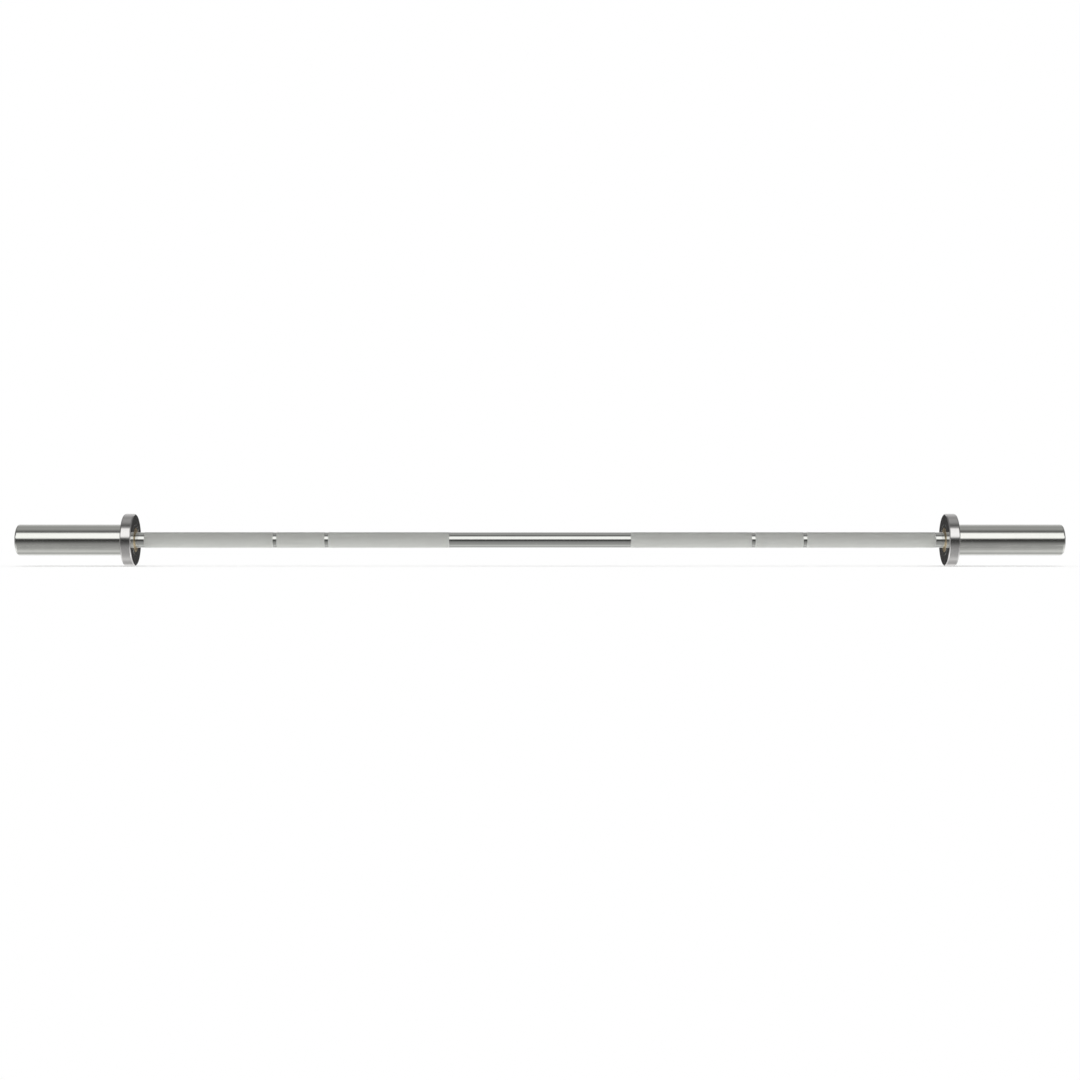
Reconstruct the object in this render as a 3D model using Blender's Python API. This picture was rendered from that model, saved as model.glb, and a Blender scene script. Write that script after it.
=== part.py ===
"""Technique barbell: a straight steel shaft with a free-spinning sleeve and plate collar at each end.

The bar lies along X with its middle at the origin, and +Z is up. Each end is built outwards from an
empty that stands on the bar's axis, in the plane of the collar's inner face. Local +X there points
out along the bar, so both ends hold the same parts, one set turned round. Sizes are in metres.
"""

import math

import bmesh
import bpy

# Layout along the bar
BETWEEN_COLLARS = 1.317
COLLAR_THICKNESS = 0.0175
LOADABLE_LENGTH = 0.174

# Shaft: knurled grips, smooth middle, two ring marks on each side and a smooth neck at each collar
SHAFT_DIAMETER = 0.025
KNURL_HEIGHT = 0.00015
CENTRE_SMOOTH_LENGTH = 0.295
INNER_MARK_SPACING = 0.694
MARK_STEP = 0.084
MARK_WIDTH = 0.006
NECK_LENGTH = 0.0155
SHOULDER_HEIGHT = 0.0015
SHOULDER_CHAMFER = 0.0005
SHAFT_END_CHAMFER = 0.001
SHAFT_END_LAND = 0.004
SHAFT_END_AIR = 0.008

# Sleeve and collar
SLEEVE_DIAMETER = 0.050
SLEEVE_END_CHAMFER = 0.002
SLEEVE_LEAD_CHAMFER = 0.0005
COLLAR_DIAMETER = 0.085
COLLAR_CHAMFER = 0.0015

# Bronze bushings: a flanged one at the collar and a plain one near the sleeve's end
BUSHING_WALL = 0.0027
BUSHING_STOP = 0.0013
BUSHING_CHAMFER = 0.0005
INNER_BUSHING_LENGTH = 0.025
OUTER_BUSHING_LENGTH = 0.030
FLANGE_LIP = 0.0055
FLANGE_THICKNESS = 0.003

# Thrust washers
WASHER_THICKNESS = 0.0015
OUTER_WASHER_LIP = 0.0018

# Snap rings, with the grooves that hold them
RING_THICKNESS = 0.0015
RING_GROOVE_DEPTH = 0.001
SHAFT_RING_WIDTH = 0.003
SHAFT_RING_EAR = 0.0019
SHAFT_RING_HOLE_DIAMETER = 0.002
CAP_RING_WIDTH = 0.0032
CAP_RING_EAR = 0.0026
CAP_RING_HOLE_DIAMETER = 0.0025
RING_HALF_GAP = math.radians(14)
EAR_ANGLE = math.radians(26)

# End cap and its rubber seal
CHAMBER_CLEARANCE = 0.0007
CAP_LEDGE = 0.0015
CAP_THICKNESS = 0.006
CAP_CHAMFER = 0.0005
CAP_DISH_DIAMETER = 0.022
CAP_DISH_DEPTH = 0.001
SEAL_SECTION = 0.0018
MOUTH_LIP = 0.002

# Air between two pieces: where one seats on the other, and where one turns in the other
SEAT_GAP = 0.0003
RUNNING_GAP = 0.0003

# Facets round the turned pieces, multiples of four so that one faces straight down
SLEEVE_FACETS = 48
SHAFT_FACETS = 32

# Points along the small forms: the seal's section, a pliers hole, a snap ring's body and its ear
SEAL_SECTION_FACETS = 8
HOLE_FACETS = 12
RING_BODY_STEPS = 30
EAR_STEPS = 6

# How square an ear's outline is, where 2 would make it an ellipse
EAR_SQUARENESS = 4

MERGE_DISTANCE = 0.000001
SHARP_ANGLE = math.radians(30)

# Radii that follow from the sizes above, from the shaft outwards
shaft_radius = SHAFT_DIAMETER / 2
knurl_radius = shaft_radius + KNURL_HEIGHT
spindle_radius = shaft_radius - SHOULDER_HEIGHT
bushing_bore_radius = spindle_radius + RUNNING_GAP
bushing_radius = bushing_bore_radius + BUSHING_WALL
flange_radius = bushing_radius + FLANGE_LIP
outer_washer_radius = bushing_radius + OUTER_WASHER_LIP
bushing_seat_radius = bushing_radius + SEAT_GAP
flange_recess_radius = flange_radius + SEAT_GAP
relief_radius = bushing_seat_radius - BUSHING_STOP
shaft_groove_radius = spindle_radius - RING_GROOVE_DEPTH
shaft_ring_bore_radius = shaft_groove_radius + SEAT_GAP
shaft_ring_radius = shaft_ring_bore_radius + SHAFT_RING_WIDTH
chamber_radius = max(shaft_ring_radius + SHAFT_RING_EAR, outer_washer_radius) + CHAMBER_CLEARANCE
cap_seat_radius = chamber_radius + CAP_LEDGE
cap_radius = cap_seat_radius - SEAT_GAP
mouth_groove_radius = cap_seat_radius + RING_GROOVE_DEPTH
cap_ring_radius = mouth_groove_radius - SEAT_GAP
cap_ring_bore_radius = cap_ring_radius - CAP_RING_WIDTH
ear_middle = RING_HALF_GAP + EAR_ANGLE / 2
sleeve_radius = SLEEVE_DIAMETER / 2
collar_bore_radius = sleeve_radius + SEAT_GAP
collar_radius = COLLAR_DIAMETER / 2

# Places along one end of the bar, measured outwards from the collar's inner face
sleeve_length = COLLAR_THICKNESS + LOADABLE_LENGTH
ring_groove_width = RING_THICKNESS + 2 * SEAT_GAP
flange_at = WASHER_THICKNESS + SEAT_GAP
flange_recess_depth = flange_at + FLANGE_THICKNESS + SEAT_GAP
inner_seat_end = flange_recess_depth + INNER_BUSHING_LENGTH
mouth_groove_at = sleeve_length - MOUTH_LIP - ring_groove_width
cap_ring_at = mouth_groove_at + SEAT_GAP
cap_at = mouth_groove_at - CAP_THICKNESS
cap_ledge_at = cap_at - SEAT_GAP
shaft_end_at = cap_at - SHAFT_END_AIR
shaft_groove_at = shaft_end_at - SHAFT_END_LAND - ring_groove_width
shaft_ring_at = shaft_groove_at + SEAT_GAP
outer_washer_at = shaft_groove_at - WASHER_THICKNESS
chamber_at = outer_washer_at - SEAT_GAP
outer_bushing_at = chamber_at - OUTER_BUSHING_LENGTH
outer_seat_start = outer_bushing_at - SEAT_GAP


def make_material(name, colour, roughness, metallic):
    """A Principled material of one colour."""
    material = bpy.data.materials.new(name)
    material.use_nodes = True
    shader = material.node_tree.nodes["Principled BSDF"]
    shader.inputs["Base Color"].default_value = (*colour, 1.0)
    shader.inputs["Roughness"].default_value = roughness
    shader.inputs["Metallic"].default_value = metallic
    return material


def make_mesh(name, shape, material):
    """The mesh of a finished bmesh, faces out, smooth but for its real edges."""
    bmesh.ops.remove_doubles(shape, verts=shape.verts, dist=MERGE_DISTANCE)
    bmesh.ops.recalc_face_normals(shape, faces=shape.faces)
    mesh = bpy.data.meshes.new(name)
    shape.to_mesh(mesh)
    shape.free()
    mesh.materials.append(material)
    mesh.shade_smooth()
    mesh.set_sharp_from_angle(angle=SHARP_ANGLE)
    return mesh


def turned_mesh(name, profile, facets, material):
    """A turned solid: the (x, radius) profile is spun once round the X axis, a facet facing down.

    The middle of each facet lies on the true radius, so sizes across the flats are the real ones.
    A profile whose ends lie on the axis makes a solid bar or disc, and any other makes a ring.
    """
    shape = bmesh.new()
    half_facet = math.pi / facets
    corners = []
    for x, radius in profile:
        corners.append(shape.verts.new((x, radius, radius * math.tan(half_facet))))
    edges = [shape.edges.new(pair) for pair in zip(corners, corners[1:])]
    if profile[0][1] > 0:
        edges.append(shape.edges.new((corners[-1], corners[0])))
    bmesh.ops.spin(
        shape,
        geom=corners + edges,
        cent=(0, 0, 0),
        axis=(1, 0, 0),
        angle=2 * math.pi,
        steps=facets,
        use_merge=True,
    )
    return make_mesh(name, shape, material)


def around(radius, angle):
    """The (y, z) point at an angle from straight up, as seen along the bar."""
    return radius * math.sin(angle), radius * math.cos(angle)


def add_loop(shape, outline):
    """Adds a closed outline of (y, z) points in the plane x = 0 and returns its edges."""
    corners = [shape.verts.new((0, y, z)) for y, z in outline]
    return [shape.edges.new((corners[i - 1], corner)) for i, corner in enumerate(corners)]


def stamped_mesh(name, outline, holes, thickness, material):
    """A flat stamped piece: an outline with holes through it, as thick as its sheet."""
    shape = bmesh.new()
    edges = add_loop(shape, outline)
    for hole in holes:
        edges += add_loop(shape, hole)
    bmesh.ops.triangle_fill(shape, use_beauty=True, edges=edges)
    raised = bmesh.ops.extrude_face_region(shape, geom=shape.faces[:])
    top = [item for item in raised["geom"] if isinstance(item, bmesh.types.BMVert)]
    bmesh.ops.translate(shape, vec=(thickness, 0, 0), verts=top)
    return make_mesh(name, shape, material)


def ear_rise(angle):
    """How far the ear stands up at an angle from the gap's middle, from 0 to 1."""
    from_ear = abs(angle - ear_middle) / (EAR_ANGLE / 2)
    return math.sqrt(max(0.0, 1 - from_ear**EAR_SQUARENESS))


def snap_ring_mesh(name, plain_radius, eared_radius, ear_height, hole_diameter, material):
    """An open snap ring, its gap at the top, with a pliers hole in the ear at each side of the gap.

    One edge of the ring is plain and the other has the ears. They stand away from the plain edge.
    """
    outward = math.copysign(1, eared_radius - plain_radius)
    body_start = RING_HALF_GAP + EAR_ANGLE
    body_turn = 2 * math.pi - 2 * body_start
    ear_angles = [RING_HALF_GAP + EAR_ANGLE * step / EAR_STEPS for step in range(EAR_STEPS)]
    body_angles = [body_start + body_turn * step / RING_BODY_STEPS for step in range(RING_BODY_STEPS + 1)]
    far_angles = [2 * math.pi - angle for angle in reversed(ear_angles)]
    angles = ear_angles + body_angles + far_angles
    outline = []
    for angle in angles:
        rise = ear_rise(min(angle, 2 * math.pi - angle))
        outline.append(around(eared_radius + outward * ear_height * rise, angle))
    for angle in reversed(angles):
        outline.append(around(plain_radius, angle))
    hole_centre_radius = (plain_radius + eared_radius + outward * ear_height) / 2
    holes = []
    for side in (-1, 1):
        centre_y, centre_z = around(hole_centre_radius, side * ear_middle)
        hole = []
        for step in range(HOLE_FACETS):
            y, z = around(hole_diameter / 2, 2 * math.pi * step / HOLE_FACETS)
            hole.append((centre_y + y, centre_z + z))
        holes.append(hole)
    return stamped_mesh(name, outline, holes, RING_THICKNESS, material)


def shaft_mesh(material):
    """The whole shaft, turned from one steel bar, its knurled bands standing slightly proud."""
    inner_mark = INNER_MARK_SPACING / 2
    outer_mark = inner_mark + MARK_STEP
    knurl_bands = [
        (CENTRE_SMOOTH_LENGTH / 2, inner_mark - MARK_WIDTH / 2),
        (inner_mark + MARK_WIDTH / 2, outer_mark - MARK_WIDTH / 2),
        (outer_mark + MARK_WIDTH / 2, BETWEEN_COLLARS / 2 - NECK_LENGTH),
    ]
    half = []
    for start, end in knurl_bands:
        half += [(start, shaft_radius), (start, knurl_radius), (end, knurl_radius), (end, shaft_radius)]
    shoulder = BETWEEN_COLLARS / 2 - SEAT_GAP
    groove = BETWEEN_COLLARS / 2 + shaft_groove_at
    end = BETWEEN_COLLARS / 2 + shaft_end_at
    half += [
        (shoulder - SHOULDER_CHAMFER, shaft_radius),
        (shoulder, shaft_radius - SHOULDER_CHAMFER),
        (shoulder, spindle_radius),
        (groove, spindle_radius),
        (groove, shaft_groove_radius),
        (groove + ring_groove_width, shaft_groove_radius),
        (groove + ring_groove_width, spindle_radius),
        (end - SHAFT_END_CHAMFER, spindle_radius),
        (end, spindle_radius - SHAFT_END_CHAMFER),
        (end, 0),
    ]
    other_half = [(-x, radius) for x, radius in reversed(half)]
    return turned_mesh("shaft", other_half + half, SHAFT_FACETS, material)


def sleeve_mesh(material):
    """The sleeve tube, bored from both ends for the bushings, the end chamber and the cap."""
    wall_at_mouth = sleeve_radius - cap_seat_radius
    end_chamfer = min(SLEEVE_END_CHAMFER, wall_at_mouth / 2)
    profile = [
        (0, sleeve_radius - SLEEVE_LEAD_CHAMFER),
        (SLEEVE_LEAD_CHAMFER, sleeve_radius),
        (sleeve_length - end_chamfer, sleeve_radius),
        (sleeve_length, sleeve_radius - end_chamfer),
        (sleeve_length, cap_seat_radius),
        (mouth_groove_at + ring_groove_width, cap_seat_radius),
        (mouth_groove_at + ring_groove_width, mouth_groove_radius),
        (mouth_groove_at, mouth_groove_radius),
        (mouth_groove_at, cap_seat_radius),
        (cap_ledge_at, cap_seat_radius),
        (cap_ledge_at, chamber_radius),
        (chamber_at, chamber_radius),
        (chamber_at, bushing_seat_radius),
        (outer_seat_start, bushing_seat_radius),
        (outer_seat_start, relief_radius),
        (inner_seat_end, relief_radius),
        (inner_seat_end, bushing_seat_radius),
        (flange_recess_depth, bushing_seat_radius),
        (flange_recess_depth, flange_recess_radius),
        (0, flange_recess_radius),
    ]
    return turned_mesh("sleeve", profile, SLEEVE_FACETS, material)


def collar_mesh(material):
    """The plate stop, a plain ring fixed round the inner end of the sleeve."""
    profile = [
        (0, collar_bore_radius),
        (0, collar_radius - COLLAR_CHAMFER),
        (COLLAR_CHAMFER, collar_radius),
        (COLLAR_THICKNESS - COLLAR_CHAMFER, collar_radius),
        (COLLAR_THICKNESS, collar_radius - COLLAR_CHAMFER),
        (COLLAR_THICKNESS, collar_bore_radius),
    ]
    return turned_mesh("collar", profile, SLEEVE_FACETS, material)


def inner_bushing_mesh(material):
    """The flanged bushing. Its flange takes the sleeve's inward thrust through the washer."""
    length = FLANGE_THICKNESS + INNER_BUSHING_LENGTH
    profile = [
        (0, bushing_bore_radius),
        (0, flange_radius),
        (FLANGE_THICKNESS, flange_radius),
        (FLANGE_THICKNESS, bushing_radius),
        (length - BUSHING_CHAMFER, bushing_radius),
        (length, bushing_radius - BUSHING_CHAMFER),
        (length, bushing_bore_radius),
    ]
    return turned_mesh("inner_bushing", profile, SHAFT_FACETS, material)


def outer_bushing_mesh(material):
    """The plain bushing near the sleeve's end, pushed in from the end chamber."""
    profile = [
        (0, bushing_bore_radius),
        (0, bushing_radius - BUSHING_CHAMFER),
        (BUSHING_CHAMFER, bushing_radius),
        (OUTER_BUSHING_LENGTH, bushing_radius),
        (OUTER_BUSHING_LENGTH, bushing_bore_radius),
    ]
    return turned_mesh("outer_bushing", profile, SHAFT_FACETS, material)


def washer_mesh(name, radius, material):
    """A flat thrust washer that runs on the spindle."""
    profile = [
        (0, bushing_bore_radius),
        (0, radius),
        (WASHER_THICKNESS, radius),
        (WASHER_THICKNESS, bushing_bore_radius),
    ]
    return turned_mesh(name, profile, SHAFT_FACETS, material)


def end_cap_mesh(material):
    """The disc that closes the sleeve, dished on the outside, with the seal's groove round its edge."""
    groove_half_width = SEAL_SECTION / 2 + SEAT_GAP
    groove_radius = cap_radius - SEAL_SECTION - SEAT_GAP
    profile = [
        (0, 0),
        (0, cap_radius - CAP_CHAMFER),
        (CAP_CHAMFER, cap_radius),
        (CAP_THICKNESS / 2 - groove_half_width, cap_radius),
        (CAP_THICKNESS / 2 - groove_half_width, groove_radius),
        (CAP_THICKNESS / 2 + groove_half_width, groove_radius),
        (CAP_THICKNESS / 2 + groove_half_width, cap_radius),
        (CAP_THICKNESS - CAP_CHAMFER, cap_radius),
        (CAP_THICKNESS, cap_radius - CAP_CHAMFER),
        (CAP_THICKNESS, CAP_DISH_DIAMETER / 2),
        (CAP_THICKNESS - CAP_DISH_DEPTH, CAP_DISH_DIAMETER / 2 - CAP_DISH_DEPTH),
        (CAP_THICKNESS - CAP_DISH_DEPTH, 0),
    ]
    return turned_mesh("end_cap", profile, SHAFT_FACETS, material)


def seal_mesh(material):
    """The rubber ring round the end cap, a torus centred on its own origin."""
    section_radius = SEAL_SECTION / 2
    centre_radius = cap_radius - section_radius
    profile = []
    for step in range(SEAL_SECTION_FACETS):
        angle = 2 * math.pi * (step + 0.5) / SEAL_SECTION_FACETS
        x = section_radius * math.cos(angle)
        radius = centre_radius + section_radius * math.sin(angle)
        profile.append((x, radius))
    return turned_mesh("end_cap_seal", profile, SHAFT_FACETS, material)


def place(name, mesh, parent, distance):
    """Puts a piece on its parent's axis, that far out along the bar."""
    piece = bpy.data.objects.new(name, mesh)
    bpy.context.scene.collection.objects.link(piece)
    piece.parent = parent
    piece.location = (distance, 0, 0)
    return piece


def place_axis(name, side):
    """An empty on the bar's axis at one collar's inner face, its X pointing out along the bar."""
    axis = place(name, None, None, side * BETWEEN_COLLARS / 2)
    if side < 0:
        axis.rotation_euler = (0, 0, math.pi)
    return axis


for old_object in list(bpy.data.objects):
    bpy.data.objects.remove(old_object, do_unlink=True)

chromed_steel = make_material("chromed_steel", (0.72, 0.72, 0.70), 0.18, 1.0)
sleeve_metal = make_material("polished_sleeve_metal", (0.78, 0.78, 0.75), 0.14, 1.0)
collar_metal = make_material("turned_collar_metal", (0.74, 0.72, 0.71), 0.20, 1.0)
bronze = make_material("bushing_bronze", (0.66, 0.52, 0.30), 0.35, 1.0)
spring_steel = make_material("spring_steel", (0.30, 0.30, 0.31), 0.40, 1.0)
washer_steel = make_material("washer_steel", (0.55, 0.55, 0.54), 0.35, 1.0)
cap_metal = make_material("end_cap_metal", (0.62, 0.62, 0.61), 0.30, 1.0)
seal_rubber = make_material("seal_rubber", (0.02, 0.02, 0.02), 0.70, 0.0)

# Each mesh with its distance out along the bar: first what stays with the shaft
fixed_meshes = {
    "inner_thrust_washer": (washer_mesh("inner_thrust_washer", flange_radius, bronze), 0),
    "outer_thrust_washer": (
        washer_mesh("outer_thrust_washer", outer_washer_radius, washer_steel),
        outer_washer_at,
    ),
    "shaft_snap_ring": (
        snap_ring_mesh(
            "shaft_snap_ring",
            shaft_ring_bore_radius,
            shaft_ring_radius,
            SHAFT_RING_EAR,
            SHAFT_RING_HOLE_DIAMETER,
            spring_steel,
        ),
        shaft_ring_at,
    ),
}

# Then what spins with the sleeve
spinning_meshes = {
    "sleeve": (sleeve_mesh(sleeve_metal), 0),
    "collar": (collar_mesh(collar_metal), 0),
    "inner_bushing": (inner_bushing_mesh(bronze), flange_at),
    "outer_bushing": (outer_bushing_mesh(bronze), outer_bushing_at),
    "end_cap": (end_cap_mesh(cap_metal), cap_at),
    "end_cap_seal": (seal_mesh(seal_rubber), cap_at + CAP_THICKNESS / 2),
    "end_cap_snap_ring": (
        snap_ring_mesh(
            "end_cap_snap_ring",
            cap_ring_radius,
            cap_ring_bore_radius,
            CAP_RING_EAR,
            CAP_RING_HOLE_DIAMETER,
            spring_steel,
        ),
        cap_ring_at,
    ),
}

place("shaft", shaft_mesh(chromed_steel), None, 0)
for side_name, side in (("left", -1), ("right", 1)):
    shaft_end = place_axis(side_name + "_shaft_end", side)
    sleeve_axis = place_axis(side_name + "_sleeve_axis", side)
    for part_name, (mesh, distance) in fixed_meshes.items():
        place(side_name + "_" + part_name, mesh, shaft_end, distance)
    for part_name, (mesh, distance) in spinning_meshes.items():
        place(side_name + "_" + part_name, mesh, sleeve_axis, distance)
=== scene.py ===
"""Technique barbell: the looks of a 1.7 m training bar with two free-spinning sleeves.

The bar lies along X with its middle at the origin, +Z is up and the viewer stands on the -Y side.
All sizes are in metres. What sits at an end of the bar has its places measured outwards from the
collar plane, the inner face of that end's collar.
"""

import math

import bmesh
import bpy
import mathutils
import numpy as np
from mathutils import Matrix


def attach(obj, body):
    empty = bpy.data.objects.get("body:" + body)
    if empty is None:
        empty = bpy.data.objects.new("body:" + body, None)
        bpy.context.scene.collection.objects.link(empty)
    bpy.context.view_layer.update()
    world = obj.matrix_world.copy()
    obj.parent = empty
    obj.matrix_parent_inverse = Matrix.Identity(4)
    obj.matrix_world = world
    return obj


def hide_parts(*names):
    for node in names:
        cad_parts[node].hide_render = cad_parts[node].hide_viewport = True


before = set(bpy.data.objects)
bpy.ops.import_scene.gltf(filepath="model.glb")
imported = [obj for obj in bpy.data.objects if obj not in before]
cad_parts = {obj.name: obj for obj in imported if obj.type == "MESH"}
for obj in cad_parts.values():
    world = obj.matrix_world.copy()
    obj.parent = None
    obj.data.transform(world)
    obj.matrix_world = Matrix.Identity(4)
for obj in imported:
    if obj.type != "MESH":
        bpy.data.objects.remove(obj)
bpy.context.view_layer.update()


# Shaft: one bar of chromed steel. A pair of knurling wheels rolled the diamonds into its three
# grips on each side, and left the middle, the ring marks and the necks smooth. Its ends are turned
# down to spindles for the sleeves, each with a groove for a snap ring.
COLLAR_PLANE = 0.6585
SHAFT_RADIUS = 0.0125
GRIPS = ((0.1475, 0.344), (0.350, 0.428), (0.434, 0.643))
SMOOTH_BESIDE_GRIP = 0.0015
DIAMONDS_AROUND = 52
DIAMOND_LENGTH = 0.00265
TIP_RADIUS = 0.01265
ROOT_RADIUS = 0.01242
KNURL_RUN_OUT = 0.0004
SHAFT_COLUMNS = 2 * DIAMONDS_AROUND

SPINDLE_RADIUS = 0.011
SPINDLE_LENGTH = 0.1734
SPINDLE_GROOVE_START = 0.1673
SPINDLE_GROOVE_WIDTH = 0.0021
SPINDLE_GROOVE_RADIUS = 0.010
END_FACE_RING_RADIUS = 0.004

# Points that ease the shaft's corners, each so far along the bar from its corner and so far in
NECK_AND_SHOULDER_EDGE = np.array([
    (-0.0140, 0),
    (-0.0012, 0),
    (-0.0004, 0),
    (-0.00028, 0.00003),
    (-0.00018, 0.0001),
    (-0.00015, 0.0002),
])
SHOULDER_FOOT = np.array([(-0.00015, -0.0003), (-0.00015, -0.0001), (-0.0001, 0), (0.0002, 0)])
GROOVE_EDGE = np.array([(-0.0003, 0), (0, 0.00005), (0, 0.0002)])
GROOVE_FOOT = np.array([(0, -0.0001), (0.0001, 0)])
SPINDLE_END_EDGE = np.array([(-0.0014, 0), (-0.0010, 0.00005), (-0.00005, 0.0010), (0, 0.0014)])

MIRROR_TONES = ((0.70, 0.71, 0.68), (0.76, 0.77, 0.74))
SATIN_TONES = ((0.90, 0.91, 0.88), (0.95, 0.96, 0.93))
# Painted shade: the darker tones laid into the roots of the knurl's grooves, where shade falls
GROOVE_SHADE_TONES = ((0.40, 0.40, 0.37), (0.52, 0.52, 0.48))
MIRROR_ROUGHNESS = (0.08, 0.15)
SATIN_ROUGHNESS = (0.64, 0.76)
WORN_ROUGHNESS = 0.52
CHALKED_METALLIC = 0.95
# Where each change of finish starts and ends, from 0 at the knurl's tips to 1 at its roots
WORN_DEPTHS = (0.10, 0.45)
CHALKED_DEPTHS = (0.2, 0.9)
# Painted shade: where the darkening of the grooves' roots starts and ends
SHADED_GROOVE_DEPTHS = (0.80, 1.0)
POLISH_LINE_PITCH = 0.0004
POLISH_LINE_DEPTH = 0.00002
CLOUDS_PER_METRE = 32.0


def fit(name, surface, material, body, node):
    """Makes a piece of points and faces, joins its doubles, turns its faces out and fits it."""
    points, faces = surface
    mesh = bpy.data.meshes.new(name)
    mesh.from_pydata(points.tolist(), [], [list(face) for face in faces])
    shape = bmesh.new()
    shape.from_mesh(mesh)
    bmesh.ops.remove_doubles(shape, verts=shape.verts, dist=1e-7)
    bmesh.ops.recalc_face_normals(shape, faces=shape.faces)
    shape.to_mesh(mesh)
    shape.free()
    mesh.polygons.foreach_set("use_smooth", np.ones(len(mesh.polygons), bool))
    mesh.materials.append(material)
    piece = bpy.data.objects.new(name, mesh)
    bpy.context.scene.collection.objects.link(piece)
    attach(piece, body)
    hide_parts(node)
    return piece


def node_tools(tree):
    """Two functions for a tree of nodes: one adds a node, and one gives an input what it needs.

    What an input needs is a number, a vector, a colour or another node's output. A new node is
    given its inputs in order or by name, with underscores for spaces, and its own settings by
    name. What comes back is the first output in use, which leads to the node and its others.
    """

    def feed(socket, value):
        if isinstance(value, bpy.types.NodeSocket):
            tree.links.new(value, socket)
        else:
            socket.default_value = (*value, 1.0) if socket.type == "RGBA" else value

    def add(kind, *inputs, **settings):
        node = tree.nodes.new("ShaderNode" + kind)
        for key, value in settings.items():
            if hasattr(node, key):
                setattr(node, key, value)
            else:
                feed(node.inputs[key.replace("_", " ")], value)
        used = [socket for socket in node.inputs if socket.enabled]
        for socket, value in zip(used, inputs):
            feed(socket, value)
        return next(socket for socket in node.outputs if socket.enabled)

    return add, feed


def blank_finish(name):
    """A new material, as one function that adds a node to it and one that sets its shader."""
    material = bpy.data.materials.new(name)
    material.use_nodes = True
    shader = material.node_tree.nodes["Principled BSDF"]
    add, feed = node_tools(material.node_tree)

    def finish(**inputs):
        for key, value in inputs.items():
            feed(shader.inputs[key.replace("_", " ")], value)
        return material

    return add, finish


def blend(add, share, low, high, kind="RGBA"):
    """Goes from low to high, both of them values or other nodes' outputs, with a share."""
    return add("Mix", share, low, high, data_type=kind)


def ramp(add, source, limits, low=0.0, high=1.0, kind="LINEAR"):
    """Goes from low to high as the source goes from one limit to the other, and no further."""
    return add("MapRange", source, *limits, low, high, interpolation_type=kind)


def spread(add, noise, low, high):
    """Takes the middle half of a noise evenly to the range from low to high."""
    return ramp(add, noise, (0.25, 0.75), low, high)


def lathe_lines(add, pitch):
    """Fine lines that run round the bar, and soft clouds.

    The lines are noise over the distance along the bar and the distance out from its axis. The
    clouds are noise over the place itself, which comes back first.
    """
    place = add("TexCoord").node.outputs["Object"]
    along = add("SeparateXYZ", place)
    across = add("VectorMath", place, (0, 1, 1), operation="MULTIPLY")
    out = add("VectorMath", across, operation="LENGTH")
    flat = add("CombineXYZ", along, out)
    lines = add("TexNoise", flat, 1 / pitch, noise_dimensions="2D", Detail=3.0, Roughness=0.65)
    clouds = add("TexNoise", place, CLOUDS_PER_METRE, Detail=5.0, Roughness=0.6)
    return place, lines, clouds


def by_corner(place, radius, easing):
    """Profile points by the corner at a place and radius, each as far along and in as given."""
    return easing * (1, -1) + (place, radius)


def shaft_surface():
    """Points and faces of the shaft, row after row of points from its left end to its right.

    In a grip the radius is the root's where row and column numbers add up to an even number, and
    the tip's where they add up to an odd one. Each tip is the peak of a diamond whose four corners
    are the roots around it, so a quad is split along its two roots. Elsewhere a row is a plain
    circle.
    """
    groove = COLLAR_PLANE + SPINDLE_GROOVE_START
    groove_end = groove + SPINDLE_GROOVE_WIDTH
    end = COLLAR_PLANE + SPINDLE_LENGTH
    outer_profile = np.concatenate([
        by_corner(COLLAR_PLANE, SHAFT_RADIUS, NECK_AND_SHOULDER_EDGE),
        by_corner(COLLAR_PLANE, SPINDLE_RADIUS, SHOULDER_FOOT),
        by_corner(groove, SPINDLE_RADIUS, GROOVE_EDGE),
        by_corner(groove, SPINDLE_GROOVE_RADIUS, GROOVE_FOOT),
        by_corner(groove_end, SPINDLE_GROOVE_RADIUS, GROOVE_FOOT[::-1] * (-1, 1)),
        by_corner(groove_end, SPINDLE_RADIUS, GROOVE_EDGE[::-1] * (-1, 1)),
        by_corner(end, SPINDLE_RADIUS, SPINDLE_END_EDGE),
        [(end, END_FACE_RING_RADIUS), (end, 0)],
    ])
    # The right half's rows: each one's place along the bar, its radius, and 1 where it is knurled
    rows = [(0.0, SHAFT_RADIUS, 0.0)]
    for start, stop in GRIPS:
        count = 2 * round((stop - start) / DIAMOND_LENGTH)
        knurled = np.linspace(start + KNURL_RUN_OUT, stop - KNURL_RUN_OUT, count + 1)
        rows += [(x, SHAFT_RADIUS, 0.0) for x in (start - SMOOTH_BESIDE_GRIP, start)]
        rows += [(x, SHAFT_RADIUS, 1.0) for x in knurled]
        rows += [(x, SHAFT_RADIUS, 0.0) for x in (stop, stop + SMOOTH_BESIDE_GRIP)]
    rows += [(x, radius, 0.0) for x, radius in outer_profile]
    half = np.array(rows)
    x, radius, in_grip = np.concatenate([half[:0:-1] * (-1, 1, 1), half]).T
    row = np.arange(len(x))[:, None]
    column = np.arange(SHAFT_COLUMNS)[None, :]
    odd = (row + column) % 2
    diamond = ROOT_RADIUS + (TIP_RADIUS - ROOT_RADIUS) * odd
    out = np.where(in_grip[:, None] > 0.5, diamond, radius[:, None])
    angle = column * 2 * np.pi / SHAFT_COLUMNS
    along = np.broadcast_to(x[:, None], out.shape)
    points = np.stack([along, out * np.sin(angle), out * np.cos(angle)], axis=-1)
    a = row[:-1] * SHAFT_COLUMNS + column
    b = row[:-1] * SHAFT_COLUMNS + (column + 1) % SHAFT_COLUMNS
    c = b + SHAFT_COLUMNS
    d = a + SHAFT_COLUMNS
    splits = np.where(odd[:-1, :, None] == 0, [0, 1, 2, 0, 2, 3], [1, 2, 3, 1, 3, 0])
    quads = np.stack(np.broadcast_arrays(a, b, c, d), axis=-1)
    return points.reshape(-1, 3), np.take_along_axis(quads, splits, axis=-1).reshape(-1, 3)


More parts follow.
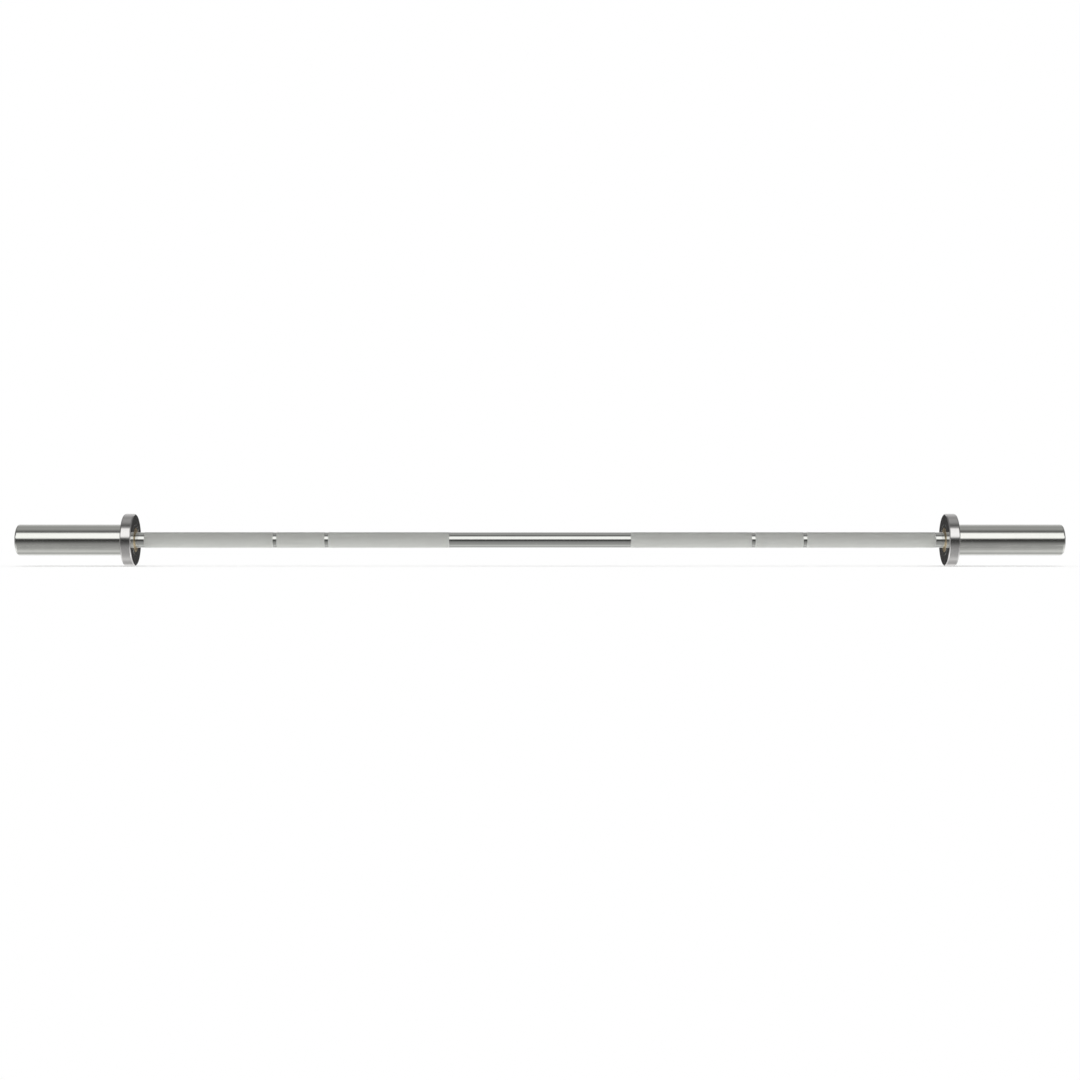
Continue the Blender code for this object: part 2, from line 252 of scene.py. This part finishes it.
def mark_grips(piece):
    """Marks the grips for the finish, and keeps the sides of their diamonds flat.

    The attribute grip is 1 in a grip and 0 elsewhere. In a grip, groove is how far a point lies
    below the tips, as a share of the knurl's depth, and elsewhere it is 0.
    """
    mesh = piece.data
    place = np.empty(len(mesh.vertices) * 3)
    mesh.vertices.foreach_get("co", place)
    place = place.reshape(-1, 3)
    along = np.abs(place[:, 0])
    depth = (TIP_RADIUS - np.hypot(place[:, 1], place[:, 2])) / (TIP_RADIUS - ROOT_RADIUS)
    middle = np.empty(len(mesh.polygons) * 3)
    mesh.polygons.foreach_get("center", middle)
    middle_along = np.abs(middle.reshape(-1, 3)[:, 0])
    in_grip = np.zeros(len(along), bool)
    flat = np.zeros(len(middle_along), bool)
    for start, stop in GRIPS:
        in_grip |= (along > start + KNURL_RUN_OUT / 2) & (along < stop - KNURL_RUN_OUT / 2)
        flat |= (middle_along > start) & (middle_along < stop)
    for label, share in (("grip", in_grip), ("groove", np.where(in_grip, depth, 0))):
        values = share.astype(np.float32)
        mesh.attributes.new(label, "FLOAT", "POINT").data.foreach_set("value", values)
    mesh.polygons.foreach_set("use_smooth", ~flat)


def chromed_shaft_finish():
    """Hard chrome with faint polishing lines, and satin in the grips.

    There, hands have worn the tips of the diamonds smoother, chalk lies on their sides, and the
    grooves between them are darkened at their roots with painted shade.
    """
    add, finish = blank_finish("chromed_shaft")
    _, lines, clouds = lathe_lines(add, POLISH_LINE_PITCH)
    grip = add("Attribute", attribute_name="grip").node.outputs["Fac"]
    groove = add("Attribute", attribute_name="groove").node.outputs["Fac"]
    mirror = blend(add, clouds, *MIRROR_TONES)
    satin = blend(add, clouds, *SATIN_TONES)
    # Painted shade for the roots of the grooves, mixed in over their deepest fifth
    painted_groove_shade = blend(add, clouds, *GROOVE_SHADE_TONES)
    diamonds = blend(add, ramp(add, groove, SHADED_GROOVE_DEPTHS, kind="SMOOTHSTEP"), satin, painted_groove_shade)
    smooth_roughness = spread(add, lines, *MIRROR_ROUGHNESS)
    rough_sides = spread(add, clouds, *SATIN_ROUGHNESS)
    diamond_roughness = ramp(add, groove, WORN_DEPTHS, WORN_ROUGHNESS, rough_sides)
    return finish(
        Base_Color=blend(add, grip, mirror, diamonds),
        Metallic=ramp(add, groove, CHALKED_DEPTHS, 1.0, CHALKED_METALLIC),
        Roughness=blend(add, grip, smooth_roughness, diamond_roughness, kind="FLOAT"),
        Normal=add("Bump", Strength=0.25, Distance=POLISH_LINE_DEPTH, Height=lines),
    )


chrome = chromed_shaft_finish()
shaft = fit("knurled_shaft", shaft_surface(), chrome, "bar", "shaft")
mark_grips(shaft)


# Inner thrust washers: bronze discs on the spindles, against the shaft's shoulders. They are
# turned from bar and face the sleeves' flanges, so they are what shows round the shaft inside each
# collar.
WASHER_BORE = 0.0113
WASHER_THICKNESS = 0.0015
FLANGE_RADIUS = 0.0195
EDGE_EASE = 0.0002
ROUND_FACETS = 128
SCUFF_STRETCH = 0.02
SCUFFS_PER_METRE = 700.0


def rounded(corners, reach, steps=3, hold=1.8):
    """A closed (x, radius) profile with rounded corners, as whole arrays.

    Each corner gives way to the parabola that leaves one side and joins the next, both at the
    reach or at a quarter of the shorter side. The reach is one for all corners, or one for each.
    One more point on each side, hold times as far from the corner, keeps the flat beside it flat.
    """
    corner = np.asarray(corners, float)
    reach = np.reshape(reach, (-1, 1))
    back = np.roll(corner, 1, axis=0) - corner
    ahead = np.roll(corner, -1, axis=0) - corner
    back_length = np.linalg.norm(back, axis=1, keepdims=True)
    ahead_length = np.linalg.norm(ahead, axis=1, keepdims=True)
    cut = np.minimum(reach, np.minimum(back_length, ahead_length) / 4)
    start = corner + back / back_length * cut
    end = corner + ahead / ahead_length * cut
    t = np.linspace(0, 1, steps + 1)[None, :, None]
    arc = (1 - t) ** 2 * start[:, None] + 2 * t * (1 - t) * corner[:, None] + t**2 * end[:, None]
    before = corner + back / back_length * cut * hold
    after = corner + ahead / ahead_length * cut * hold
    return np.concatenate([before[:, None], arc, after[:, None]], axis=1).reshape(-1, 2)


def turned(profile, closed=True):
    """Points and faces of a turned piece.

    A profile point at (x, radius) and angle a from straight up goes to (x, radius sin a, radius
    cos a). A closed profile makes a ring, and an open one starts and ends on the axis.
    """
    x, radius = np.asarray(profile, float).T
    angle = np.arange(ROUND_FACETS) * 2 * np.pi / ROUND_FACETS
    points = np.empty((len(x), ROUND_FACETS, 3))
    points[..., 0] = x[:, None]
    points[..., 1] = radius[:, None] * np.sin(angle)
    points[..., 2] = radius[:, None] * np.cos(angle)
    row = np.arange(len(x) if closed else len(x) - 1)[:, None]
    column = np.arange(ROUND_FACETS)[None, :]
    next_row = (row + 1) % len(x)
    next_column = (column + 1) % ROUND_FACETS
    corners = [
        row * ROUND_FACETS + column,
        row * ROUND_FACETS + next_column,
        next_row * ROUND_FACETS + next_column,
        next_row * ROUND_FACETS + column,
    ]
    return points.reshape(-1, 3), np.stack(corners, axis=-1).reshape(-1, 4)


def washer(start, radius):
    """A flat ring that runs on the spindle, with eased edges."""
    end = start + WASHER_THICKNESS
    corners = [(start, WASHER_BORE), (start, radius), (end, radius), (end, WASHER_BORE)]
    return turned(rounded(corners, EDGE_EASE))


def both_ends(name, surface, material, body, node):
    """Fits the same piece at both ends.

    Its points are measured outwards from the collar's inner face. The left end's are the right
    end's turned half round the upright axis.
    """
    points, faces = surface
    pair = []
    for side, end in (("left", -1), ("right", 1)):
        placed = (points * (end, end, 1) + (end * COLLAR_PLANE, 0, 0), faces)
        owner = body if body == "bar" else f"{side}_{body}"
        pair.append(fit(f"{side}_{name}", placed, material, owner, f"{side}_{node}"))
    return pair


def scuffs_along(add, place, most):
    """Faint duller streaks along the bar: the upper half of a noise that is drawn out along it."""
    drawn_out = add("VectorMath", place, (SCUFF_STRETCH, 1, 1), operation="MULTIPLY")
    streaks = add("TexNoise", drawn_out, SCUFFS_PER_METRE, Detail=3.0, Roughness=0.7)
    return ramp(add, streaks, (0.50, 0.75), 0.0, most)


def round_the_bar(add, place):
    """The direction round the bar at a place: the bar's axis crossed with the place."""
    crossed = add("VectorMath", (1, 0, 0), place, operation="CROSS_PRODUCT")
    in_world = add(
        "VectorTransform", crossed, vector_type="VECTOR", convert_from="OBJECT", convert_to="WORLD"
    )
    return add("VectorMath", in_world, operation="NORMALIZE")


def lathe_finish(name, tones, roughness, pitch, depth, grain=0.0, scuffs=0.0):
    """A turned metal: fine lines cut round it, in tone, gloss and relief, and soft clouds.

    The tones and the roughness are each a low and a high one, and the pitch and depth are those of
    the lines. The grain spreads its gloss across the lines, and scuffs dull it in streaks.
    """
    add, finish = blank_finish(name)
    place, lines, clouds = lathe_lines(add, pitch)
    worked = blend(add, 0.5, lines, clouds, kind="FLOAT")
    dullness = spread(add, worked, *roughness)
    if scuffs > 0:
        dullness = add("Math", dullness, scuffs_along(add, place, scuffs), operation="ADD")
    if grain > 0:
        finish(Anisotropic=grain, Anisotropic_Rotation=0.25, Tangent=round_the_bar(add, place))
    return finish(
        Base_Color=blend(add, spread(add, worked, 0.0, 1.0), *tones),
        Metallic=1.0,
        Roughness=dullness,
        Normal=add("Bump", Strength=0.5, Distance=depth, Height=lines),
    )


bronze = lathe_finish(
    "oiled_bronze",
    tones=((0.61, 0.49, 0.32), (0.75, 0.62, 0.42)),
    roughness=(0.42, 0.56),
    pitch=0.0003,
    depth=0.00003,
    grain=0.4,
)
inner_washer = washer(start=0, radius=FLANGE_RADIUS)
both_ends("bronze_washer", inner_washer, bronze, "bar", "inner_thrust_washer")


# Bushings: a flanged one pushed in from the collar side and a plain one from the sleeve's end.
# Both are turned from bronze, and the spindle runs in them on a film of grease.
BUSHING_RADIUS = 0.014
BUSHING_EDGE = 0.0005
FLANGE_START = 0.0018
FLANGE_END = 0.0048
FLANGED_BUSHING_END = 0.0298
PLAIN_BUSHING_START = 0.1355
PLAIN_BUSHING_END = 0.1655

flanged = [
    (FLANGE_START, WASHER_BORE),
    (FLANGE_START, FLANGE_RADIUS),
    (FLANGE_END, FLANGE_RADIUS),
    (FLANGE_END, BUSHING_RADIUS),
    (FLANGED_BUSHING_END - BUSHING_EDGE, BUSHING_RADIUS),
    (FLANGED_BUSHING_END, BUSHING_RADIUS - BUSHING_EDGE),
    (FLANGED_BUSHING_END, WASHER_BORE),
]
plain = [
    (PLAIN_BUSHING_START, WASHER_BORE),
    (PLAIN_BUSHING_START, BUSHING_RADIUS - BUSHING_EDGE),
    (PLAIN_BUSHING_START + BUSHING_EDGE, BUSHING_RADIUS),
    (PLAIN_BUSHING_END, BUSHING_RADIUS),
    (PLAIN_BUSHING_END, WASHER_BORE),
]
for name, corners, node in (
    ("flanged_bushing", flanged, "inner_bushing"),
    ("plain_bushing", plain, "outer_bushing"),
):
    bushing = turned(rounded(corners, EDGE_EASE))
    both_ends(name, bushing, bronze, "sleeve", node)


# Sleeves: aluminium tubes of 50 mm that the weight plates slide on. Each is turned and polished
# outside, eased at its mouth, and bored from both ends for the bushings, the snap ring and the
# cap.
SLEEVE_RADIUS = 0.025
SLEEVE_LENGTH = 0.1915
SLEEVE_END_EDGE = 0.002
SLEEVE_EASE = 0.0006
SEAM_EASE = 0.0001
MOUTH_RADIUS = 0.018
MOUTH_GROOVE_START = 0.1874
MOUTH_GROOVE_END = 0.1895
MOUTH_GROOVE_RADIUS = 0.0190
CAP_LEDGE = 0.1811
CHAMBER_START = 0.1655
CHAMBER_RADIUS = 0.0165
OUTER_SEAT_START = 0.1352
INNER_SEAT_END = 0.0301
SEAT_RADIUS = 0.0143
RELIEF_RADIUS = 0.0130
FLANGE_RECESS_DEPTH = 0.0051
FLANGE_RECESS_RADIUS = 0.0198

tube = [
    (0, SLEEVE_RADIUS - SEAM_EASE),
    (SEAM_EASE, SLEEVE_RADIUS),
    (SLEEVE_LENGTH - SLEEVE_END_EDGE, SLEEVE_RADIUS),
    (SLEEVE_LENGTH, SLEEVE_RADIUS - SLEEVE_END_EDGE),
    (SLEEVE_LENGTH, MOUTH_RADIUS),
    (MOUTH_GROOVE_END, MOUTH_RADIUS),
    (MOUTH_GROOVE_END, MOUTH_GROOVE_RADIUS),
    (MOUTH_GROOVE_START, MOUTH_GROOVE_RADIUS),
    (MOUTH_GROOVE_START, MOUTH_RADIUS),
    (CAP_LEDGE, MOUTH_RADIUS),
    (CAP_LEDGE, CHAMBER_RADIUS),
    (CHAMBER_START, CHAMBER_RADIUS),
    (CHAMBER_START, SEAT_RADIUS),
    (OUTER_SEAT_START, SEAT_RADIUS),
    (OUTER_SEAT_START, RELIEF_RADIUS),
    (INNER_SEAT_END, RELIEF_RADIUS),
    (INNER_SEAT_END, SEAT_RADIUS),
    (FLANGE_RECESS_DEPTH, SEAT_RADIUS),
    (FLANGE_RECESS_DEPTH, FLANGE_RECESS_RADIUS),
    (0, FLANGE_RECESS_RADIUS),
]
# The two corners at the collar's seam and the two of the recess keep nearly sharp
tube_easing = [SEAM_EASE] * 2 + [SLEEVE_EASE] * (len(tube) - 4) + [SEAM_EASE] * 2
sleeve_polish = lathe_finish(
    "polished_sleeve",
    tones=((0.73, 0.74, 0.70), (0.81, 0.81, 0.77)),
    roughness=(0.08, 0.15),
    pitch=0.0005,
    depth=0.00003,
    grain=0.4,
    scuffs=0.12,
)
sleeve_tube = turned(rounded(tube, tube_easing))
both_ends("sleeve_tube", sleeve_tube, sleeve_polish, "sleeve", "sleeve")


# Collars: thin plate stops of 85 mm, turned from aluminium and pressed round the inner ends of the
# sleeves. Their rims are polished, and their faces show the lathe's fine rings.
COLLAR_RADIUS = 0.0425
COLLAR_THICKNESS = 0.0175
COLLAR_BORE = 0.0253
COLLAR_EDGE = 0.0015
COLLAR_EASE = 0.0004

ring = [
    (0, COLLAR_BORE),
    (0, COLLAR_RADIUS - COLLAR_EDGE),
    (COLLAR_EDGE, COLLAR_RADIUS),
    (COLLAR_THICKNESS - COLLAR_EDGE, COLLAR_RADIUS),
    (COLLAR_THICKNESS, COLLAR_RADIUS - COLLAR_EDGE),
    (COLLAR_THICKNESS, COLLAR_BORE),
]
ring_easing = [SEAM_EASE] + [COLLAR_EASE] * (len(ring) - 2) + [SEAM_EASE]
collar_polish = lathe_finish(
    "turned_collar",
    tones=((0.70, 0.69, 0.68), (0.77, 0.75, 0.74)),
    roughness=(0.12, 0.20),
    pitch=0.0004,
    depth=0.00003,
    grain=0.5,
)
collar_ring = turned(rounded(ring, ring_easing))
both_ends("plate_collar", collar_ring, collar_polish, "sleeve", "collar")


# Outer thrust washers: steel discs, ground flat on both faces. They run on the spindles between
# the plain bushings and the snap rings, and take the sleeves' outward pull.
OUTER_WASHER_START = 0.1658
OUTER_WASHER_RADIUS = 0.0158

ground_steel = lathe_finish(
    "ground_steel",
    tones=((0.50, 0.50, 0.49), (0.60, 0.60, 0.59)),
    roughness=(0.28, 0.40),
    pitch=0.0002,
    depth=0.00002,
)
outer_washer = washer(OUTER_WASHER_START, OUTER_WASHER_RADIUS)
both_ends("steel_washer", outer_washer, ground_steel, "bar", "outer_thrust_washer")


# Snap rings: stamped from spring steel and phosphated dark. One grips each spindle's groove and
# keeps the sleeve on, and one springs out into each sleeve's mouth and keeps the end cap in.
RING_THICKNESS = 0.0015
RING_HALF_GAP = math.radians(14)
RING_EDGE = 0.00015
RING_EDGE_ANGLE = math.radians(50)
SHARP_ANGLE = math.radians(40)
EAR_ANGLE = math.radians(26)
EAR_POINTS = 14
BODY_POINTS = 72
HOLE_POINTS = 24


def snap_ring(start, plain_radius, eared_radius, ear_radius, hole_radius):
    """Points and faces of an open ring, stamped with its gap at the top.

    Its plain edge is an arc. The other edge stands at the eared radius, and in an ear it goes
    towards the ear's radius by the root of 1 less the fourth power of the angle from the ear's
    middle, as a share of half the ear. Each ear has a round hole for the pliers.
    """
    ear_end = RING_HALF_GAP + EAR_ANGLE
    ear_middle = RING_HALF_GAP + EAR_ANGLE / 2
    turn = np.linspace(-1, 1, EAR_POINTS)
    ear = ear_middle + np.sin(turn * np.pi / 2) * EAR_ANGLE / 2
    body = np.linspace(ear_end, 2 * np.pi - ear_end, BODY_POINTS)[1:-1]
    angle = np.concatenate([ear, body, 2 * np.pi - ear[::-1]])
    from_gap = np.minimum(angle, 2 * np.pi - angle)
    from_ear = np.clip(np.abs(from_gap - ear_middle) / (EAR_ANGLE / 2), 0, 1)
    eared = eared_radius + (ear_radius - eared_radius) * np.sqrt(1 - from_ear**4)
    radius = np.concatenate([eared, np.full(len(angle), plain_radius)])
    angle = np.concatenate([angle, angle[::-1]])
    loops = [np.stack([radius * np.sin(angle), radius * np.cos(angle)], axis=-1)]
    hole_angle = np.arange(HOLE_POINTS) * 2 * np.pi / HOLE_POINTS
    hole = hole_radius * np.stack([np.sin(hole_angle), np.cos(hole_angle)], axis=-1)
    centre_radius = (plain_radius + ear_radius) / 2
    for side in (-1, 1):
        centre = centre_radius * np.array([np.sin(side * ear_middle), np.cos(ear_middle)])
        loops.append(centre + hole)
    flat = np.concatenate(loops)
    low = np.column_stack([np.full(len(flat), start), flat])
    high = low + (RING_THICKNESS, 0, 0)
    outlines = [[(0, y, z) for y, z in loop] for loop in loops]
    low_faces = np.array(mathutils.geometry.tessellate_polygon(outlines))
    high_faces = low_faces[:, ::-1] + len(flat)
    faces = low_faces.tolist() + high_faces.tolist()
    first = 0
    for loop in loops:
        here = first + np.arange(len(loop))
        ahead = first + (np.arange(len(loop)) + 1) % len(loop)
        faces += np.stack([here, ahead, ahead + len(flat), here + len(flat)], axis=-1).tolist()
        first += len(loop)
    return np.concatenate([low, high]), faces


spindle_ring = snap_ring(
    start=0.1676, plain_radius=0.0103, eared_radius=0.0133, ear_radius=0.0152, hole_radius=0.0010
)
mouth_ring = snap_ring(
    start=0.1877, plain_radius=0.0187, eared_radius=0.0155, ear_radius=0.0129, hole_radius=0.00125
)
spring_steel = lathe_finish(
    "phosphated_spring_steel",
    tones=((0.20, 0.20, 0.21), (0.34, 0.34, 0.35)),
    roughness=(0.36, 0.52),
    pitch=0.0008,
    depth=0.00001,
)
for name, stamped, body, node in (
    ("spindle_circlip", spindle_ring, "bar", "shaft_snap_ring"),
    ("mouth_circlip", mouth_ring, "sleeve", "end_cap_snap_ring"),
):
    for circlip in both_ends(name, stamped, spring_steel, body, node):
        circlip.data.set_sharp_from_angle(angle=SHARP_ANGLE)
        eased = circlip.modifiers.new("eased_edges", "BEVEL")
        eased.width = RING_EDGE
        eased.segments = 2
        eased.limit_method = "ANGLE"
        eased.angle_limit = RING_EDGE_ANGLE


# End caps: turned aluminium discs that close the sleeves' mouths, dished on the outside. Each has
# a groove round its edge for a rubber seal.
CAP_START = 0.1814
CAP_END = 0.1874
CAP_RADIUS = 0.0177
CAP_EDGE = 0.0005
CAP_EASE = 0.0003
SEAL_GROOVE_START = 0.1832
SEAL_GROOVE_END = 0.1856
SEAL_GROOVE_RADIUS = 0.0156
DISH_RADIUS = 0.011
DISH_DEPTH = 0.001
NEAR_AXIS = 0.0005

cap = [
    (CAP_START, 0),
    (CAP_START, CAP_RADIUS - CAP_EDGE),
    (CAP_START + CAP_EDGE, CAP_RADIUS),
    (SEAL_GROOVE_START, CAP_RADIUS),
    (SEAL_GROOVE_START, SEAL_GROOVE_RADIUS),
    (SEAL_GROOVE_END, SEAL_GROOVE_RADIUS),
    (SEAL_GROOVE_END, CAP_RADIUS),
    (CAP_END - CAP_EDGE, CAP_RADIUS),
    (CAP_END, CAP_RADIUS - CAP_EDGE),
    (CAP_END, DISH_RADIUS),
    (CAP_END - DISH_DEPTH, DISH_RADIUS - DISH_DEPTH),
    (CAP_END - DISH_DEPTH, 0),
]
# The corners on the axis are no edges, so their own points stand in for the rounded ones
eased_cap = rounded(cap, CAP_EASE)
eased_cap = np.concatenate([cap[:1], eased_cap[eased_cap[:, 1] > NEAR_AXIS], cap[-1:]])
cap_satin = lathe_finish(
    "satin_end_cap",
    tones=((0.56, 0.56, 0.55), (0.67, 0.67, 0.66)),
    roughness=(0.24, 0.36),
    pitch=0.0003,
    depth=0.00003,
    grain=0.5,
)
end_plug = turned(eased_cap, closed=False)
both_ends("end_plug", end_plug, cap_satin, "sleeve", "end_cap")


# End cap seals: rings of black nitrile rubber in the caps' grooves, which keep the grease in and
# the chalk out. They are moulded to a round section.
SEAL_CENTRE = (0.1844, 0.0168)
SEAL_SECTION_RADIUS = 0.0009
SEAL_SECTION_POINTS = 24
SEAL_TONES = ((0.012, 0.012, 0.012), (0.035, 0.034, 0.033))
SEAL_ROUGHNESS = (0.62, 0.80)
SEAL_GRAINS_PER_METRE = 1500.0
SEAL_GRAIN_DEPTH = 0.00003


def seal_finish():
    """Matt black rubber, with a fine grain and a dusty bloom."""
    add, finish = blank_finish("seal_rubber_black")
    place = add("TexCoord").node.outputs["Object"]
    grain = add("TexNoise", place, SEAL_GRAINS_PER_METRE, Detail=3.0)
    return finish(
        Base_Color=blend(add, grain, *SEAL_TONES),
        Roughness=spread(add, grain, *SEAL_ROUGHNESS),
        Normal=add("Bump", Strength=0.2, Distance=SEAL_GRAIN_DEPTH, Height=grain),
    )


# A circle round the seal's centre, which is then turned round the bar
turn = np.arange(SEAL_SECTION_POINTS) * 2 * np.pi / SEAL_SECTION_POINTS
section = np.stack([np.cos(turn), np.sin(turn)], axis=-1) * SEAL_SECTION_RADIUS + SEAL_CENTRE
both_ends("plug_seal", turned(section), seal_finish(), "sleeve", "end_cap_seal")


# Floor and light: a white floor that keeps the bar's shadow, an even white sky and one soft lamp.
# Metal mirrors a room of its own: a long softbox in front and above, a floor that is grey in front
# and light to the sides, and side walls that are grey in front of the bar and black behind it.
FLOOR_SIZE = 8.0
FLOOR_GAP = 0.0002
LAMP_SHARE = 0.40
LAMP_TILT = math.radians(25)
LAMP_SPREAD = math.radians(35)
SIDE_WALL_IN_FRONT = (0.36, 0.36, 0.36)
SIDE_WALL_BEHIND = (0.05, 0.05, 0.05)
# How far sideways, or back, a direction goes where one part of the room gives way to the next
SOFTBOX_ENDS = (0.29, 0.40)
SIDE_WALL_STARTS = (0.75, 0.95)
BACK_STARTS = (0.0, 0.25)

# The room by the angle round the bar: 0 straight behind it, 0.25 straight below, 0.5 in front of
# it, at the camera, and 0.75 straight above. Each pair is a place and a level of light.
ROOM = (
    # Black behind, and light behind and below
    (0.000, 0.05),
    (0.028, 0.06),
    (0.045, 1.00),
    (0.100, 0.85),
    # The floor, darker towards the camera
    (0.145, 0.45),
    (0.195, 0.51),
    (0.237, 0.70),
    (0.285, 0.47),
    (0.330, 0.36),
    (0.375, 0.33),
    (0.425, 0.26),
    # Black at the camera
    (0.465, 0.10),
    (0.497, 0.04),
    (0.518, 0.10),
    # The softbox
    (0.543, 1.22),
    (0.636, 1.22),
    # The ceiling, lighter towards the back
    (0.660, 0.28),
    (0.688, 0.12),
    (0.735, 0.35),
    (0.780, 0.39),
    (0.820, 0.33),
    (0.880, 0.52),
    (0.955, 0.80),
    (0.972, 0.06),
    (1.000, 0.05),
)
# The same to the sides, past the softbox's ends: a darker ceiling over a floor in full light
ROOM_TO_SIDES = (
    (0.000, 0.05),
    (0.030, 0.06),
    (0.050, 0.90),
    (0.120, 0.80),
    (0.170, 0.80),
    (0.220, 1.40),
    (0.370, 1.40),
    (0.410, 0.55),
    (0.450, 0.10),
    (0.500, 0.05),
    (0.535, 0.10),
    (0.555, 1.22),
    (0.590, 1.22),
    (0.610, 0.16),
    (0.700, 0.10),
    (0.780, 0.25),
    (0.850, 0.16),
    (0.930, 0.28),
    (0.955, 0.50),
    (0.972, 0.06),
    (1.000, 0.05),
)

floor_mesh = bpy.data.meshes.new("studio_floor")
reach = FLOOR_SIZE / 2
height = -COLLAR_RADIUS - FLOOR_GAP
floor_corners = [(x * reach, y * reach, height) for x, y in ((-1, -1), (1, -1), (1, 1), (-1, 1))]
floor_mesh.from_pydata(floor_corners, [], [(0, 1, 2, 3)])
_, paint = blank_finish("white_floor_paint")
white_paint = paint(Base_Color=(1.0, 1.0, 1.0), Roughness=1.0, Specular_IOR_Level=0.0)
floor_mesh.materials.append(white_paint)
floor = bpy.data.objects.new("studio_floor", floor_mesh)
floor.visible_glossy = False
bpy.context.scene.collection.objects.link(floor)

lamp_data = bpy.data.lights.new("overhead_lamp", "SUN")
lamp_data.angle = LAMP_SPREAD
lamp_data.energy = LAMP_SHARE * math.pi / math.cos(LAMP_TILT)
lamp = bpy.data.objects.new("overhead_lamp", lamp_data)
lamp.rotation_euler = (LAMP_TILT, 0, 0)
lamp.visible_glossy = False
bpy.context.scene.collection.objects.link(lamp)

world = bpy.data.worlds.new("studio")
bpy.context.scene.world = world
world.use_nodes = True
world.cycles.sampling_method = "NONE"
add_sky, feed_sky = node_tools(world.node_tree)


def room_bands(levels, place):
    """Greys that go evenly from each place and level round the bar to the next."""
    bands = add_sky("ValToRGB", place)
    stops = bands.node.color_ramp.elements
    while len(stops) < len(levels):
        stops.new(0.5)
    for stop, (position, level) in zip(stops, levels):
        stop.position = position
        stop.color = (level, level, level, 1)
    return bands


towards = add_sky("TexCoord").node.outputs["Generated"]
x, y, z = add_sky("SeparateXYZ", towards).node.outputs
forward = add_sky("Math", y, -1.0, operation="MULTIPLY")
angle = add_sky("Math", z, forward, operation="ARCTAN2")
round_bar = ramp(add_sky, angle, (-math.pi, math.pi))
sideways = add_sky("Math", x, operation="ABSOLUTE")

past_softbox = ramp(add_sky, sideways, SOFTBOX_ENDS, kind="SMOOTHSTEP")
on_side_wall = ramp(add_sky, sideways, SIDE_WALL_STARTS, kind="SMOOTHSTEP")
behind = ramp(add_sky, y, BACK_STARTS, kind="SMOOTHSTEP")
long_bands = blend(
    add_sky, past_softbox, room_bands(ROOM, round_bar), room_bands(ROOM_TO_SIDES, round_bar)
)
side_walls = blend(add_sky, behind, SIDE_WALL_IN_FRONT, SIDE_WALL_BEHIND)
room = blend(add_sky, on_side_wall, long_bands, side_walls)

# Only mirrored rays see the room: the others see an even sky, and the camera sees white
ray = add_sky("LightPath").node.outputs
mirrored = add_sky(
    "Math", ray["Is Glossy Ray"], ray["Is Transmission Ray"], operation="ADD", use_clamp=True
)
even_sky = (1 - LAMP_SHARE, 1 - LAMP_SHARE, 1 - LAMP_SHARE)
lighting = blend(add_sky, mirrored, even_sky, room)
seen = blend(add_sky, ray["Is Camera Ray"], lighting, (1.0, 1.0, 1.0))
feed_sky(world.node_tree.nodes["Background"].inputs["Color"], seen)


# Camera: level with the bar and square to it, three metres away, as the photograph was taken. Its
# lens takes in 1.76 m at the bar, so that the bar fills the frame as it does there.
CAMERA_DISTANCE = 3.05
SENSOR_MM = 36.0
LENS_MM = 62.4

camera_data = bpy.data.cameras.new("camera")
camera_data.sensor_width = SENSOR_MM
camera_data.lens = LENS_MM
camera = bpy.data.objects.new("camera", camera_data)
camera.location = (0, -CAMERA_DISTANCE, 0)
camera.rotation_euler = (math.pi / 2, 0, 0)
bpy.context.scene.collection.objects.link(camera)
bpy.context.scene.camera = camera
bpy.context.scene.view_settings.view_transform = "Standard"
